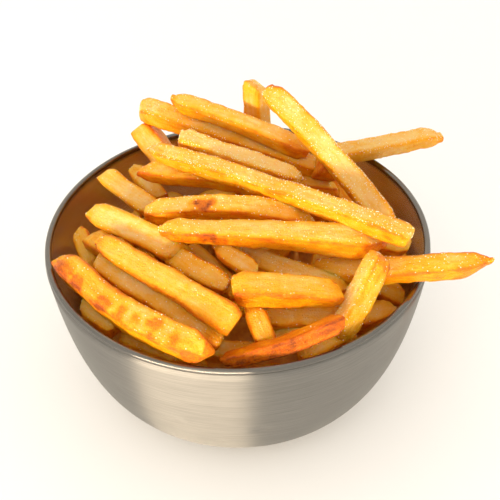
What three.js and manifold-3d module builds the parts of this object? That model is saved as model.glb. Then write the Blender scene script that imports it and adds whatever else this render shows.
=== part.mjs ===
// A heap of french fries served in a round stainless-steel bowl.
// Millimetres, +Z up, -Y is the front. The origin is the middle of the bowl's flat base.

import * as THREE from "three";
import { mergeVertices } from "three/addons/utils/BufferGeometryUtils.js";
import Module from "manifold-3d";

// Bowl: spun sheet steel, a flat base, a rounded wall and a rolled rim. The outside of the wall
// is one curve from the edge of the base to just under the rim, given as radius and height.
const BASE_RADIUS = 30;
const WALL_CURVE = [[BASE_RADIUS, 0], [52.2, 0], [72.7, 0.3], [78.5, 72.6]];
const SHEET = 1;
const RIM_RADIUS = 77;
const RIM_HEIGHT = 74;
const BEAD = 1.3;
const BEAD_START = -0.5;
const BEAD_END = 4.2;
const WALL_STEPS = 10;
const BEAD_STEPS = 7;
const TURNS = 56;

// The packed bulk under the fries that show, kept just clear of the steel. Its top follows the
// undersides of the lowest of them, up to a dome, and stays low where none lies near.
const GAP = 0.5;
const CORE_EDGE_HEIGHT = 34;
const CORE_EDGE_RADIUS = 68;
const CORE_FLOOR = 44;
const DOME_TOP = 81;
const DOME_MIDDLE = -10;
const DOME_FALL = 0.0048;
const CORE_RINGS = 12;
const CORE_SINK = 1.8;
const CORE_REACH = 8;
const CORE_SAMPLES = 24;
const CORE_SLOPE = 8;
const STEEP = 0.8;
const FOOT = 0.85;

// Sections of a fry: a square stick with its long corners cut back.
const CHAMFER = 0.14;
const RING_SPACING = 22;
const MOST_SPANS = 5;
const TAPER = 2;
const TAPER_REST = 1.1;
const FINEST = 0.02;
const WELD = 0.001;

// The fries that show, the upper ones first, and at the end those that carry them from behind.
// from and to are the middles of the two ends, and thick is the thickness at each. turn is the
// turn about the length, in degrees. bow is how far the middle bends up and to the left, and
// blunt is each end's share of the full thickness.
const FRIES = [
  { from: [10, 50, 113], to: [12, 56, 60], thick: [8.5, 9], turn: 22, bow: [0, 0], blunt: [0.9, 0.8] },
  { from: [14, 35, 119], to: [60, -11, 83], thick: [9, 9.5], turn: 35, bow: [2, 0], blunt: [0.7, 0.8] },
  { from: [-27, 55, 103], to: [31, 24, 94], thick: [7.5, 7.5], turn: 15, bow: [2, 0], blunt: [0.5, 0.7] },
  { from: [94, 52, 83], to: [37, 42, 79], thick: [8, 8.5], turn: -15, bow: [0, 0], blunt: [0.5, 0.8] },
  { from: [-36, 29, 95], to: [63, -36, 97], thick: [7, 7.5], turn: 15, bow: [2, 0], blunt: [0.5, 0.85] },
  { from: [-23, 30, 100], to: [26, 6, 94], thick: [8, 7.5], turn: 15, bow: [0, 0], blunt: [0.8, 0.7] },
  { from: [-42, 61, 96], to: [37, 21, 87], thick: [9.5, 7.5], turn: 15, bow: [0, 0], blunt: [0.85, 0.7] },
  { from: [14, 21, 84], to: [43, 17, 80], thick: [6.5, 6], turn: 10, bow: [0, 0], blunt: [0.8, 0.8] },
  { from: [-42, 60, 86], to: [-25, 34, 76], thick: [10.5, 9.5], turn: 45, bow: [0, 0], blunt: [0.85, 0.8] },
  { from: [-41, 30, 84], to: [13, 5, 92], thick: [8, 9.5], turn: 25, bow: [1, 0], blunt: [0.55, 0.7] },
  { from: [-37, -3, 86], to: [30, -14, 88], thick: [8, 9], turn: 15, bow: [4, 0], blunt: [0.6, 0.6] },
  { from: [-30, -19, 90], to: [56, -29, 88], thick: [7.5, 11.5], turn: 15, bow: [1, 0], blunt: [0.5, 0.4] },
  { from: [31, -26, 73], to: [94, -38, 87], thick: [9, 8.5], turn: 20, bow: [0, -3], blunt: [0.8, 0.3] },
  { from: [52, -39, 92], to: [36, -57, 68], thick: [9, 8.5], turn: 30, bow: [0, 0], blunt: [0.85, 0.7] },
  { from: [36, -62, 82], to: [-7, -68, 69], thick: [6, 5.5], turn: 20, bow: [0, 2], blunt: [0.8, 0.6] },
  { from: [-2, -50, 87], to: [37, -47, 80], thick: [10.5, 9], turn: 20, bow: [1, 0], blunt: [0.85, 0.8] },
  { from: [-10, -21, 84], to: [7, -32, 79], thick: [6.5, 8], turn: 30, bow: [0, 0], blunt: [0.5, 0.8] },
  { from: [0, -18, 76], to: [41, -37, 72], thick: [8.5, 8], turn: 20, bow: [0, 0], blunt: [0.8, 0.8] },
  { from: [-56, 32, 79], to: [-33, 10, 76], thick: [9, 9], turn: 30, bow: [0, 0], blunt: [0.9, 0.7] },
  { from: [-58, 6, 80], to: [-22, -23, 81], thick: [11, 10.5], turn: 40, bow: [1, 0], blunt: [0.7, 0.8] },
  { from: [-27, -17, 77], to: [-4, -40, 79], thick: [10, 9], turn: 35, bow: [0, 0], blunt: [0.8, 0.7] },
  { from: [-54, -13, 80], to: [-1, -63, 82], thick: [9, 11], turn: 30, bow: [1, 0], blunt: [0.6, 0.85] },
  { from: [-69, -19, 76], to: [-13, -74, 81], thick: [10, 10], turn: 20, bow: [-2, -3], blunt: [0.6, 0.8] },
  { from: [-55, -18, 73], to: [-7, -62, 73], thick: [10.5, 9.5], turn: 20, bow: [0, 0], blunt: [0.8, 0.8] },
  { from: [-67, 9, 67], to: [-58, -11, 62], thick: [7.5, 7.5], turn: 20, bow: [0, 0], blunt: [0.8, 0.8] },
  { from: [-61, 0, 72], to: [-30, -28, 74], thick: [9.5, 9], turn: 20, bow: [0, 0], blunt: [0.7, 0.8] },
  { from: [5, -50, 78], to: [10, -64, 70], thick: [8, 7.5], turn: 10, bow: [0, 0], blunt: [0.8, 0.8] },
  { from: [9, -48, 69], to: [37, -46, 67], thick: [8, 8], turn: 20, bow: [0, 0], blunt: [0.8, 0.8] },
  { from: [8, -52, 62], to: [25, -52, 64], thick: [8, 8], turn: 10, bow: [0, 0], blunt: [0.8, 0.8] },
  { from: [-16, -57, 64], to: [8, -59, 62], thick: [7.5, 7.5], turn: 20, bow: [0, 0], blunt: [0.8, 0.8] },
  { from: [-59, -34, 66], to: [-46, -48, 66], thick: [9, 9], turn: 20, bow: [0, 0], blunt: [0.8, 0.8] },
  { from: [-46, -46, 60], to: [-19, -59, 60], thick: [7.5, 7.5], turn: 20, bow: [0, 0], blunt: [0.8, 0.8] },
  { from: [49, -25, 66], to: [65, -30, 60], thick: [8, 8], turn: 30, bow: [0, 0], blunt: [0.8, 0.8] },
  { from: [42, -45, 62], to: [60, -37, 61], thick: [8, 8], turn: 10, bow: [0, 0], blunt: [0.8, 0.8] },
  { from: [52, -12, 75], to: [68, -15, 73], thick: [8.5, 7.5], turn: 20, bow: [0, 0], blunt: [0.8, 0.7] },
  { from: [-46, 49, 70], to: [-32, 27, 70], thick: [8, 7.5], turn: 20, bow: [0, 0], blunt: [0.7, 0.8] },
  { from: [37, 25, 78], to: [53, 13, 73], thick: [7.5, 7.5], turn: 20, bow: [0, 0], blunt: [0.8, 0.8] },
  { from: [21, -64, 67], to: [41, -53, 66], thick: [7.5, 7.5], turn: 20, bow: [0, 0], blunt: [0.8, 0.8] },
  { from: [39, 12, 96], to: [33, 48, 63], thick: [8.5, 9.5], turn: 20, bow: [0, 0], blunt: [0.8, 0.8] },
  { from: [-22, 60, 60], to: [-6, 22, 90], thick: [8.5, 8.5], turn: 20, bow: [0, 0], blunt: [0.8, 0.8] },
  { from: [43, 0, 68], to: [63, -22, 67], thick: [8.5, 8], turn: 20, bow: [0, 0], blunt: [0.8, 0.8] },
];

const wasm = await Module();
wasm.setup();

// The outside of the wall from the base up, as radius and height, and the way out of the steel.
function wallPoint(t) {
  const corners = WALL_CURVE.map(([radius, height]) => new THREE.Vector2(radius, height));
  const curve = new THREE.CubicBezierCurve(...corners);
  const along = curve.getTangent(t);
  return { at: curve.getPoint(t), out: new THREE.Vector2(along.y, -along.x) };
}

// The wall moved inwards through the steel by a distance, base first.
function wallInset(distance, steps) {
  const points = [];
  for (let i = 0; i <= steps; i += 1) {
    const { at, out } = wallPoint(i / steps);
    points.push(at.addScaledVector(out, -distance));
  }
  return points;
}

function bowlProfile() {
  const points = [new THREE.Vector2(0, 0), ...wallInset(0, WALL_STEPS)];
  for (let i = 0; i <= BEAD_STEPS; i += 1) {
    const angle = BEAD_START + ((BEAD_END - BEAD_START) * i) / BEAD_STEPS;
    const radius = RIM_RADIUS + BEAD * Math.cos(angle);
    points.push(new THREE.Vector2(radius, RIM_HEIGHT + BEAD * Math.sin(angle)));
  }
  const inside = wallInset(SHEET, WALL_STEPS).reverse();
  return [...points, ...inside, new THREE.Vector2(0, SHEET)];
}

// The inside of the bowl from the axis up to the core's edge.
function coreUnderside() {
  const inset = wallInset(SHEET + GAP, WALL_STEPS).filter((p) => p.y < CORE_EDGE_HEIGHT);
  const edge = new THREE.Vector2(CORE_EDGE_RADIUS, CORE_EDGE_HEIGHT);
  return [new THREE.Vector2(0, SHEET + GAP), ...inset, edge];
}

// A closed surface turned about Z from a profile given as radius and height.
function turned(profile) {
  const geometry = new THREE.LatheGeometry(profile, TURNS);
  geometry.rotateX(Math.PI / 2);
  return geometry;
}

function toManifold(geometry) {
  const bare = geometry.clone();
  bare.deleteAttribute("normal");
  bare.deleteAttribute("uv");
  const merged = mergeVertices(bare, WELD);
  const triVerts = Uint32Array.from(merged.index.array);
  const vertProperties = Float32Array.from(merged.attributes.position.array);
  return new wasm.Manifold(new wasm.Mesh({ numProp: 3, vertProperties, triVerts }));
}

function toGeometry(solid) {
  const mesh = solid.getMesh();
  const geometry = new THREE.BufferGeometry();
  geometry.setAttribute("position", new THREE.BufferAttribute(mesh.vertProperties, 3));
  geometry.setIndex(new THREE.BufferAttribute(mesh.triVerts, 1));
  geometry.computeVertexNormals();
  return geometry;
}

function meshed(positions, faces) {
  const geometry = new THREE.BufferGeometry();
  geometry.setAttribute("position", new THREE.Float32BufferAttribute(positions, 3));
  geometry.setIndex(faces);
  return geometry;
}

// The corners of a fry's section, a chamfered square of unit half-width.
function sectionCorners() {
  const inner = 1 - 2 * CHAMFER;
  const corners = [];
  for (const [sx, sy] of [[1, 1], [-1, 1], [-1, -1], [1, -1]]) {
    const first = [sx * inner, sy];
    const second = [sx, sy * inner];
    corners.push(...(sx * sy > 0 ? [second, first] : [first, second]));
  }
  return corners;
}

// The line through the middle of a fry, and the two ways across it.
function fryFrame({ from, to, turn, bow }) {
  const start = new THREE.Vector3(...from);
  const end = new THREE.Vector3(...to);
  const along = end.clone().sub(start).normalize();
  const left = new THREE.Vector3(0, 0, 1).cross(along).normalize();
  const up = along.clone().cross(left);
  const middleAt = (share) => {
    const swell = Math.sin(Math.PI * share);
    const point = start.clone().lerp(end, share);
    return point.addScaledVector(up, bow[0] * swell).addScaledVector(left, bow[1] * swell);
  };
  const angle = THREE.MathUtils.degToRad(turn);
  const across = left.clone().applyAxisAngle(along, angle);
  const above = up.clone().applyAxisAngle(along, angle);
  return { middleAt, across, above, length: start.distanceTo(end) };
}

// The rings of corners along one fry, from its first end to its last.
function fryRings(fry) {
  const { middleAt, across, above, length } = fryFrame(fry);
  const [startThick, endThick] = fry.thick;
  const [startBlunt, endBlunt] = fry.blunt;
  const spans = Math.max(1, Math.min(MOST_SPANS, Math.round(length / RING_SPACING)));
  const rings = [];
  const addRing = (share, blunt) => {
    const middle = middleAt(share);
    const half = (blunt * THREE.MathUtils.lerp(startThick, endThick, share)) / 2;
    rings.push(sectionCorners().map(([a, b]) =>
      middle.clone().addScaledVector(across, a * half).addScaledVector(above, b * half)));
  };
  addRing(0, startBlunt);
  const first = (TAPER * startThick * (TAPER_REST - startBlunt)) / length;
  const last = 1 - (TAPER * endThick * (TAPER_REST - endBlunt)) / length;
  for (let i = 0; i <= spans; i += 1) {
    addRing(first + ((last - first) * i) / spans, 1);
  }
  addRing(1, endBlunt);
  return rings;
}

function fryGeometry(rings) {
  const sides = rings[0].length;
  const positions = rings.flat().flatMap((p) => [p.x, p.y, p.z]);
  const faces = [];
  for (let i = 0; i + 1 < rings.length; i += 1) {
    for (let j = 0; j < sides; j += 1) {
      const k = (j + 1) % sides;
      const [a, b] = [i * sides + j, i * sides + k];
      faces.push(a, b, b + sides, a, b + sides, a + sides);
    }
  }
  const last = (rings.length - 1) * sides;
  for (let j = 1; j + 1 < sides; j += 1) {
    faces.push(0, j + 1, j, last, last + j, last + j + 1);
  }
  return meshed(positions, faces);
}

// Points along a fry that the core may rise to: only the foot of one that stands upright.
function supportPoints(fry) {
  const { middleAt, length } = fryFrame(fry);
  if (Math.abs(fry.to[2] - fry.from[2]) > STEEP * length) {
    return [middleAt(FOOT)];
  }
  return Array.from({ length: CORE_SAMPLES + 1 }, (_, i) => middleAt(i / CORE_SAMPLES));
}

// How high the core stands at a point: up to the lowest fry near it, or to the dome.
function coreHeight(x, y, samples) {
  const near = samples.filter((p) => Math.hypot(p.x - x, p.y - y) < CORE_REACH);
  const lowest = near.length ? Math.min(...near.map((p) => p.z)) - CORE_SINK : CORE_FLOOR;
  const dome = DOME_TOP - DOME_FALL * (x ** 2 + (y - DOME_MIDDLE) ** 2);
  const wallLimit = CORE_EDGE_HEIGHT + CORE_SLOPE * (CORE_EDGE_RADIUS - Math.hypot(x, y));
  return Math.min(Math.max(lowest, CORE_FLOOR), dome, wallLimit);
}

// The core: turned below, with a top of rings whose heights follow the fries above.
function coreGeometry(samples) {
  const rings = coreUnderside().slice(1).map((p) => ({ radius: p.x, height: () => p.y }));
  for (let i = 1; i < CORE_RINGS; i += 1) {
    const radius = CORE_EDGE_RADIUS * (1 - i / CORE_RINGS);
    rings.push({ radius, height: (x, y) => coreHeight(x, y, samples) });
  }
  const positions = [];
  for (const { radius, height } of rings) {
    for (let j = 0; j < TURNS; j += 1) {
      const angle = (2 * Math.PI * j) / TURNS;
      const [x, y] = [radius * Math.sin(angle), -radius * Math.cos(angle)];
      positions.push(x, y, height(x, y));
    }
  }
  const lowest = positions.length / 3;
  const highest = lowest + 1;
  positions.push(0, 0, SHEET + GAP, 0, 0, coreHeight(0, 0, samples));
  const faces = [];
  const top = (rings.length - 1) * TURNS;
  for (let j = 0; j < TURNS; j += 1) {
    const k = (j + 1) % TURNS;
    faces.push(lowest, k, j, highest, top + j, top + k);
    for (let i = 0; i < top; i += TURNS) {
      faces.push(i + j, i + k, i + k + TURNS, i + j, i + k + TURNS, i + j + TURNS);
    }
  }
  return meshed(positions, faces);
}

// Keeps the one large outside skin of a solid: loose scraps go and shut-in hollows are filled.
function outerSkin(solid) {
  const pieces = solid.decompose();
  pieces.sort((a, b) => b.volume() - a.volume());
  return pieces[0];
}

// Removes details finer than a tolerance, then anything they leave behind.
function tidied(solid) {
  const plain = outerSkin(solid).simplify(FINEST);
  return outerSkin(toManifold(toGeometry(outerSkin(plain))));
}

function heapGeometry() {
  const samples = FRIES.flatMap(supportPoints);
  let heap = toManifold(coreGeometry(samples));
  for (const fry of FRIES) {
    heap = heap.add(toManifold(fryGeometry(fryRings(fry))));
  }
  return toGeometry(tidied(heap));
}

const steel = new THREE.MeshStandardMaterial({ color: 0xc6c4be, roughness: 0.28, metalness: 1 });
const potato = new THREE.MeshStandardMaterial({ color: 0xe3aa45, roughness: 0.55, metalness: 0 });

const bowl = new THREE.Mesh(toGeometry(toManifold(turned(bowlProfile()))), steel);
bowl.name = "bowl";

const fries = new THREE.Mesh(heapGeometry(), potato);
fries.name = "fries";

const group = new THREE.Group();
group.name = "french_fries_bowl";
group.add(bowl, fries);

export default group;
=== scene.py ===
"""French fries heaped in a round stainless-steel bowl. Metres, +Z up, -Y is the front."""

import math
import random
from collections import namedtuple

import bpy
import numpy as np
from mathutils import Matrix, Vector
from mathutils.bvhtree import BVHTree


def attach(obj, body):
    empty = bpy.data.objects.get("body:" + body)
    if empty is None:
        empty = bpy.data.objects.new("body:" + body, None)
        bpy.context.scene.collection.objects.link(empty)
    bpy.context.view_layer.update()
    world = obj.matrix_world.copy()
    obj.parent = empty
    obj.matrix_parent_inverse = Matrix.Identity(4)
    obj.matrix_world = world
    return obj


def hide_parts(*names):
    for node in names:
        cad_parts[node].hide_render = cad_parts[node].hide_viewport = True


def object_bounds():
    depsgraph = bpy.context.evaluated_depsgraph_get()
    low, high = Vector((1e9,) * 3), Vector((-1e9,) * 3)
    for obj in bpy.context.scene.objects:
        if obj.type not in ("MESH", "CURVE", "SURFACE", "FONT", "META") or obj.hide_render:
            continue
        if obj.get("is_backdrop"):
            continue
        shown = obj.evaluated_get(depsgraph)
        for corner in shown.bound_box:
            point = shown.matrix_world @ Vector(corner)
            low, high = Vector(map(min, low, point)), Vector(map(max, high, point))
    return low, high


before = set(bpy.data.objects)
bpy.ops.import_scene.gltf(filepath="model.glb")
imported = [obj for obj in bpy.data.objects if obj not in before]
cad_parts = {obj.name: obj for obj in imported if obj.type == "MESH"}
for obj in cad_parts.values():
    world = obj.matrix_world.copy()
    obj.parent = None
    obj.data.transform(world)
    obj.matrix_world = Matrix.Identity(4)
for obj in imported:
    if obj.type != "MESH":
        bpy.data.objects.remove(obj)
cad_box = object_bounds()

MM = 0.001

# ------------ the bowl's sizes, in millimetres

BASE_RADIUS = 30
RIM_RADIUS = 77
RIM_HEIGHT = 74
SHEET = 1
BEAD = 1.3
# The angles in radians at which the bead's round section starts and ends.
BEAD_FROM = -0.9
BEAD_TO = 4.4
# The wall is one curve from the base's edge to its top, with these two corners between them.
WALL_TOP = (78.5, 72.6)
CORNER_OUT = (52.2, 0)
CORNER_UP = (72.7, 0.3)
# Where the base has rings of vertices, as shares of its radius.
FLAT_SHARES = (0.4, 0.8, 0.96)
WALL_STEPS = 72
BEAD_STEPS = 22
BOWL_TURNS = 320

# Small dings in the outside of the wall: turn from the front in degrees, height, size and depth in
# millimetres, and how many times wider than high a ding is.
DINGS = [
    (6, 36, 1.3, 0.5, 2.6),
    (-7, 25, 1.0, 0.5, 1.5),
    (-19, 40, 1.8, 0.4, 1.2),
    (15, 52, 1.2, 0.35, 1.0),
    (-38, 46, 1.5, 0.4, 1.4),
    (120, 40, 1.6, 0.4, 1.6),
    (205, 30, 1.4, 0.4, 1.3),
]

# ------------ the fries that show
#
# start and end are the middles of the two ends and thick is the thickness at each, in millimetres.
# turn is the turn about the length in degrees, and blunt each end's share of the full thickness.
# tone runs from 0, pale, to 1, dark; tips is how browned each end is; gloss how oily and grainy.
# bow is how far the middle bends up and to the left, in millimetres. A row may leave out the last two.

Fry = namedtuple("Fry", "name start end thick turn blunt tone tips gloss bow", defaults=[0.1, (0, 0)])

SHOWN = (
    ("stub_back", (10, 50, 113), (12, 56, 60), (8.5, 9), 22, (0.9, 0.8), -0.18, (0.3, 0.2)),
    ("long_diag", (14, 35, 119), (60, -11, 83), (9, 9.5), 35, (0.7, 0.8), 0.12, (0.5, 0.1), 1.0, (2, 0)),
    ("band_top", (-27, 55, 103), (31, 24, 94), (7.5, 7.5), 15, (0.5, 0.7), 0.22, (0.6, 0.4), 0.3, (2, 0)),
    ("right_back", (94, 52, 83), (37, 42, 79), (8, 8.5), -15, (0.5, 0.8), 0.08, (0.45, 0.1), 0.6),
    ("long_front", (-36, 29, 95), (63, -36, 97), (7, 7.5), 15, (0.5, 0.85), 0.19, (0.5, 0.1), 1.0, (2, 0)),
    ("band_mid", (-23, 30, 100), (26, 6, 94), (8, 7.5), 15, (0.8, 0.7), -0.02, (0.1, 0.3), 0.9),
    ("band_under", (-42, 61, 96), (37, 21, 87), (9.5, 7.5), 15, (0.85, 0.7), 0.2, (0.2, 0.3), 0.5),
    ("right_short", (14, 21, 84), (43, 17, 80), (6.5, 6), 10, (0.8, 0.8), 0.25, (0.2, 0.3), 0.2),
    ("left_back", (-42, 60, 86), (-25, 34, 76), (10.5, 9.5), 45, (0.85, 0.8), 0.22, (0.3, 0.2)),
    ("orange_left", (-41, 30, 84), (13, 5, 92), (8, 9.5), 25, (0.55, 0.7), 0.3, (0.6, 0.2), 0.3, (1, 0)),
    ("spotted", (-37, -3, 86), (30, -14, 88), (8, 9), 15, (0.6, 0.6), 0.22, (0.35, 0.35), 0.5, (4, 0)),
    ("long_mid", (-30, -19, 90), (56, -29, 88), (7.5, 11.5), 15, (0.5, 0.4), 0.24, (0.65, 0.4), 0.4, (1, 0)),
    ("right_pointed", (31, -26, 73), (94, -38, 87), (9, 8.5), 20, (0.8, 0.3), 0.3, (0.3, 0.8), 0.5, (0, -3)),
    ("steep_right", (52, -39, 92), (36, -57, 68), (9, 8.5), 30, (0.85, 0.7), 0.06, (0.55, 0.2), 0.5),
    ("brown", (36, -62, 82), (-7, -68, 69), (6, 5.5), 20, (0.8, 0.6), 0.75, (0.1, 0.1), 0.3, (0, 2)),
    ("short_front", (-2, -50, 87), (37, -47, 80), (10.5, 9), 20, (0.85, 0.8), 0.3, (0.3, 0.35), 0.1, (1, 0)),
    ("small_left", (-10, -21, 84), (7, -32, 79), (6.5, 8), 30, (0.5, 0.8), 0.28, (0.6, 0.2), 0.3),
    ("pale_under", (0, -18, 76), (41, -37, 72), (8.5, 8), 20, (0.8, 0.8), 0.16, (0.3, 0.3), 0.2),
    ("stub_left", (-56, 32, 79), (-33, 10, 76), (9, 9), 30, (0.9, 0.7), 0.1, (0.3, 0.1)),
    ("left_mid", (-58, 6, 80), (-22, -23, 81), (11, 10.5), 40, (0.7, 0.8), 0.14, (0.4, 0.2), 0.1, (1, 0)),
    ("left_mid2", (-27, -17, 77), (-4, -40, 79), (10, 9), 35, (0.8, 0.7), 0.24, (0.2, 0.2), 0.6),
    ("left_big", (-54, -13, 80), (-1, -63, 82), (9, 11), 30, (0.6, 0.85), 0.36, (0.6, 0.45), 0.1, (1, 0)),
    ("front_left", (-69, -19, 76), (-13, -74, 81), (10, 10), 20,
     (0.6, 0.8), 0.32, (0.6, 0.35), 0.3, (-2, -3)),
    ("between", (-55, -18, 73), (-7, -62, 73), (10.5, 9.5), 20, (0.8, 0.8), 0.26, (0.3, 0.4), 0.3),
    ("left_tiny", (-67, 9, 67), (-58, -11, 62), (7.5, 7.5), 20, (0.8, 0.8), 0.3, (0.3, 0.1)),
    ("left_upper", (-61, 0, 72), (-30, -28, 74), (9.5, 9), 20, (0.7, 0.8), 0.22, (0.6, 0.1)),
    ("front_mid", (5, -50, 78), (10, -64, 70), (8, 7.5), 10, (0.8, 0.8), 0.35, (0.2, 0.3)),
    ("front_pale", (9, -48, 69), (37, -46, 67), (8, 8), 20, (0.8, 0.8), 0.18, (0.2, 0.2)),
    ("pale_bit", (8, -52, 62), (25, -52, 64), (8, 8), 10, (0.8, 0.8), 0.18, (0.2, 0.2)),
    ("front_low", (-16, -57, 64), (8, -59, 62), (7.5, 7.5), 20, (0.8, 0.8), 0.25, (0.2, 0.2)),
    ("left_low", (-59, -34, 66), (-46, -48, 66), (9, 9), 20, (0.8, 0.8), 0.2, (0.2, 0.2)),
    ("left_low2", (-46, -46, 60), (-19, -59, 60), (7.5, 7.5), 20, (0.8, 0.8), 0.3, (0.2, 0.2)),
    ("right_low1", (49, -25, 66), (65, -30, 60), (8, 8), 30, (0.8, 0.8), 0.4, (0.2, 0.2)),
    ("right_low2", (42, -45, 62), (60, -37, 61), (8, 8), 10, (0.8, 0.8), 0.28, (0.2, 0.2)),
    ("pale_right", (52, -12, 75), (68, -15, 73), (8.5, 7.5), 20, (0.8, 0.7), 0.22, (0.1, 0.1)),
    ("back_bit", (-46, 49, 70), (-32, 27, 70), (8, 7.5), 20, (0.7, 0.8), 0.2, (0.2, 0.2)),
    ("orange_bit", (37, 25, 78), (53, 13, 73), (7.5, 7.5), 20, (0.8, 0.8), 0.55, (0.3, 0.3), 0.3),
    ("rim_right", (21, -64, 67), (41, -53, 66), (7.5, 7.5), 20, (0.8, 0.8), 0.25, (0.2, 0.2)),
    ("bearer_diag", (39, 12, 96), (33, 48, 63), (8.5, 9.5), 20, (0.8, 0.8), 0.3, (0.3, 0.3), 0.2),
    ("bearer_back", (-22, 60, 60), (-6, 22, 90), (8.5, 8.5), 20, (0.8, 0.8), 0.3, (0.3, 0.3), 0.2),
    ("bearer_right", (43, 0, 68), (63, -22, 67), (8.5, 8), 20, (0.8, 0.8), 0.3, (0.3, 0.3), 0.2),
)
FRIES = [Fry(*row) for row in SHOWN]
# So many of them, from the first, make up the upper piece.
UPPER_FRIES = 20

# Deeper fries that are listed one by one, in gaps that show.
LAID = [Fry("laid_left", (-21, -8, 72), (-1, -35, 70), (8, 8), 20, (0.8, 0.8), 0.3, (0.2, 0.2))]

# Burnt or browned spots on a fry: the share of its length, turn about its length in degrees
# from its upper face, size in millimetres and strength.
SPOTS = {
    "spotted": [(0.36, 25, 4.2, 0.85), (0.42, 15, 3.0, 0.8), (0.3, 20, 2.5, 0.5)],
    "front_left": [
        (0.1, 45, 7, 0.6),
        (0.22, 60, 5, 0.5),
        (0.42, 50, 6, 0.5),
        (0.55, 40, 4, 0.65),
        (0.64, 30, 3.5, 0.5),
        (0.76, 25, 5, 0.65),
        (0.88, 40, 4, 0.5),
    ],
    "long_mid": [(0.22, 80, 4, 0.55), (0.28, 95, 4, 0.5)],
    "between": [(0.2, -30, 5, 0.35), (0.95, 40, 4, 0.4)],
    "band_top": [(0.9, 70, 5, 0.2)],
    "stub_back": [(0.15, 90, 2.5, 0.3)],
}

# ------------ meshes


def add_mesh(name, points, faces, materials, smooth=True):
    """A mesh object from points in metres."""
    mesh = bpy.data.meshes.new(name)
    mesh.from_pydata(np.asarray(points).tolist(), [], faces)
    if smooth:
        mesh.polygons.foreach_set("use_smooth", np.ones(len(mesh.polygons), bool))
    mesh.update()
    for material in materials:
        mesh.materials.append(material)
    piece = bpy.data.objects.new(name, mesh)
    bpy.context.scene.collection.objects.link(piece)
    return piece


def ring_quads(rows, around):
    """Four-sided faces between rings of vertices that follow one another."""
    ring = np.arange(rows - 1)[:, None] * around
    j = np.arange(around)[None, :]
    k = (j + 1) % around
    return np.stack([ring + j, ring + k, ring + k + around, ring + j + around], -1).reshape(-1, 4)


def end_triangles(rows, around):
    """Faces that close the first and the last ring, to the two vertices after all the rings."""
    j = np.arange(around)
    k = (j + 1) % around
    last, tip = (rows - 1) * around, rows * around
    first_end = np.stack([k, j, np.full(around, tip)], 1)
    last_end = np.stack([last + j, last + k, np.full(around, tip + 1)], 1)
    return np.concatenate([first_end, last_end])


def curve_point(corners, share):
    """A point of a cubic curve given by its four corners, with the way along it."""
    a, b, c, d = (np.array(corner, float) for corner in corners)
    rest = 1 - share
    point = rest**3 * a + 3 * rest**2 * share * b + 3 * rest * share**2 * c + share**3 * d
    along = rest**2 * (b - a) + 2 * rest * share * (c - b) + share**2 * (d - c)
    return point, along / np.linalg.norm(along)


def hashed(cells, seed):
    """A random number from -1 to 1 for each whole-number cell."""
    mixed = cells[:, 0] * 374761393 + cells[:, 1] * 668265263 + cells[:, 2] * 1440662683 + seed * 1013904223
    mixed = (mixed ^ (mixed >> 13)) * 1274126177 & 0xFFFFFFFF
    mixed = (mixed ^ (mixed >> 15)) * 2246822519 & 0xFFFFFFFF
    return ((mixed ^ (mixed >> 16)) & 0xFFFF) / 32767.5 - 1


def relief(points, size, seed):
    """Smooth random relief from -1 to 1 with bumps about size across."""
    cells = points / size + 1000
    low = np.floor(cells).astype(np.int64)
    part = cells - low
    part = part * part * (3 - 2 * part)
    total = np.zeros(len(points))
    for corner in np.ndindex(2, 2, 2):
        weight = np.prod(np.where(corner, part, 1 - part), axis=1)
        total += weight * hashed(low + corner, seed)
    return total


def new_seed(chance):
    return int(chance.integers(1 << 20))


def smooth_step(low, high, value):
    share = np.clip((value - low) / (high - low), 0, 1)
    return share * share * (3 - 2 * share)


# ------------ the shape of a fry
#
# Lengths are in millimetres.

# The crust is puffed out past the straight faces, and its section is a square with rounded corners:
# the higher the power, the sharper they are. CROWD draws the section's points towards the corners.
PLUMP = 1.05
EDGE_POWER = 4.4
EDGE_SPREAD = (-1, 1.5)
CROWD = 0.45

# An end narrows over TAPER thicknesses, the less the blunter it is, in a curve of power SHOULDER.
# Then it closes in a flat cap with a rounded edge.
TAPER = 2.0
TAPER_REST = 1.1
SHOULDER = 2.4
CAP_EDGE = 2.0
CAP_POWER = 3.0
CAP_RINGS = 6

# Each long corner stands out or in and wanders along the fry, in long waves and short ones, by
# shares of half the thickness.
CORNER_OFFSET = (-0.05, 0.04)
LONG_WANDER = 0.09
LONG_WAVE = 17
SHORT_WANDER = 0.04
SHORT_WAVE = 6

# Each face sinks between its edges, by more and less along the fry, in shares of half the thickness.
SINK = 0.035
SINK_CHANGE = 0.045
SINK_WAVE = 13
SINK_EDGE = 0.85
ON_FACE = 0.97
FACE_SHIFT = 31.7

# The ends are cut at a slant, and lean to a side by a share of what they are narrower.
SLANT = 0.6
SLANT_REACH = 5
LEAN = 0.55

# The whole fry twists by up to so many degrees and waves up and down.
TWIST = 9
WAVE = 0.6
WAVE_LENGTH = 21
WAVE_SHIFT = 5.1

# The crust's own relief in three sizes, the finest one stronger on an oily fry. It fades in over
# these shares of the full thickness, so that the ends' middles stay flat.
BROAD_RELIEF = 0.32
BROAD_SIZE = 7.5
MIDDLE_RELIEF = 0.22
MIDDLE_SIZE = 3.0
BLISTERS = 0.14
DRY_BLISTERS = 0.6
BLISTER_SIZE = 1.4
RELIEF_FADE = (0.1, 0.9)

# The grain runs along the fry: its noise is stretched, and shifted from fry to fry.
GRAIN_LENGTH = 5.0
GRAIN_SHIFT = 41.0


def section_points(count):
    """Points round the unit square, closer together near its corners."""
    side = count // 4
    share = 2 * np.arange(side) / side - 1
    along = (1 - CROWD) * share + CROWD * np.sin(share * math.pi / 2)
    one = np.ones(side)
    sides = ((one, along), (-along, one), (-one, -along), (along, -one))
    return np.concatenate([np.stack(pair, 1) for pair in sides])


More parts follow.
